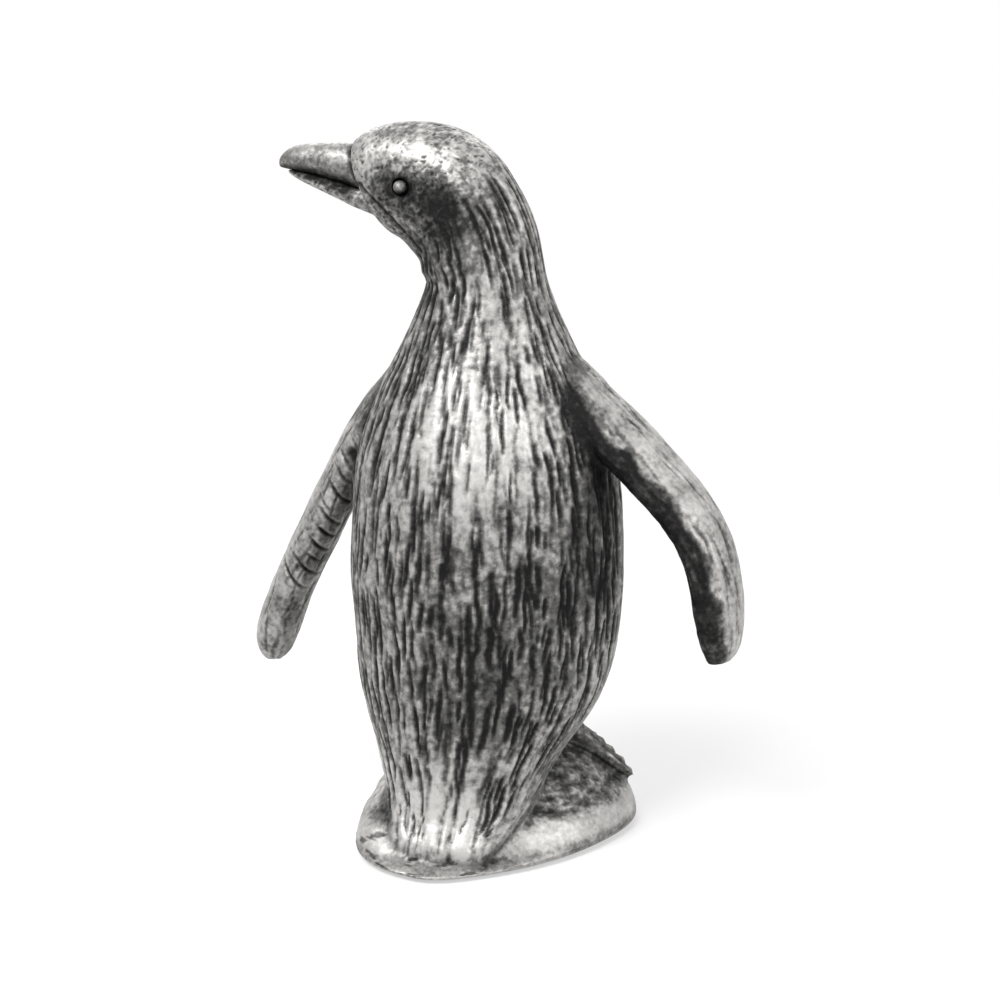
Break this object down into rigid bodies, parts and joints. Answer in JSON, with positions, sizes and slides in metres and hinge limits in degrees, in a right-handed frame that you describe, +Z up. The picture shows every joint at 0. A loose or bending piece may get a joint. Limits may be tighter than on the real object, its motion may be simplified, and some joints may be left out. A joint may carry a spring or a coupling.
{
  "type": "penguin figurine",
  "caption": "Standing penguin figurine in antiqued cast pewter, head turned to its left, flippers held out, on a low rock base with a felt underside.",
  "frame": {"origin": "on the felt underside that the figurine stands on, below the vertical axis of the body", "axes": "+Z up along the body, -Y the way the penguin faces, +X its left side, where the bill points"},
  "size_m": [0.0526, 0.0326, 0.0724],
  "materials": {
    "pewter": "antiqued cast pewter, dark patina in the chasing and worn bright on the high places",
    "steel": "drawn steel rod",
    "felt": "pressed wool felt"
  },
  "bodies": {
    "root": {"base_rock": "pewter", "base_pad": "felt", "base_screw": "steel", "base_dowel": "steel", "body": "pewter", "head": "pewter", "upper_bill": "pewter", "left_eye": "pewter", "right_eye": "pewter", "left_flipper": "pewter", "right_flipper": "pewter", "left_foot": "pewter", "right_foot": "pewter", "neck_pin": "steel", "left_flipper_pin": "steel", "right_flipper_pin": "steel"}
  },
  "joints": []
}
